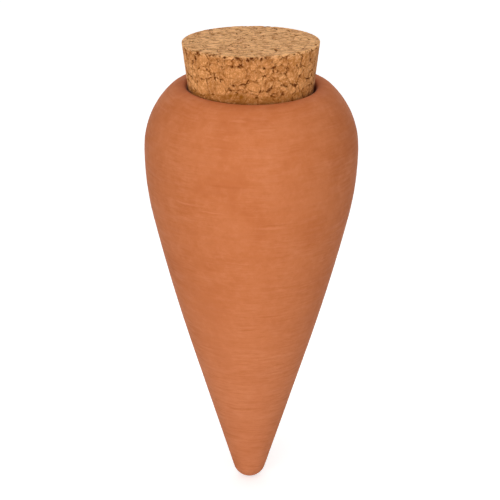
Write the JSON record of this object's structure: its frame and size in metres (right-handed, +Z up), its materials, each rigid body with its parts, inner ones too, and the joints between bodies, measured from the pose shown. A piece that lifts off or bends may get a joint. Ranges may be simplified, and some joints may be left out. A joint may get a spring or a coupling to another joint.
{
  "type": "watering cone",
  "caption": "Hollow unglazed clay cone with a cork stopper, pushed tip down into potting soil and filled with water that seeps slowly through its wall to the roots.",
  "frame": {"origin": "tip of the clay cone, on the cone's axis", "axes": "+Z up along the cone's axis from the tip to the mouth, the way the cork is pulled out; -Y faces the viewer of the picture and +X is to that viewer's right"},
  "size_m": [0.07, 0.07, 0.1542],
  "materials": {
    "fired_clay": "unglazed matte terracotta with faint turning lines",
    "cork": "raw pressed granule cork, matte"
  },
  "bodies": {
    "cone": {"terracotta_cone": "fired_clay"},
    "stopper": {"cork_stopper": "cork"}
  },
  "joints": [
    {"name": "stopper_lift", "type": "slide", "parent": "cone", "child": "stopper", "axis": [0, 0, 1], "range_m": [0, 0.08]}
  ]
}
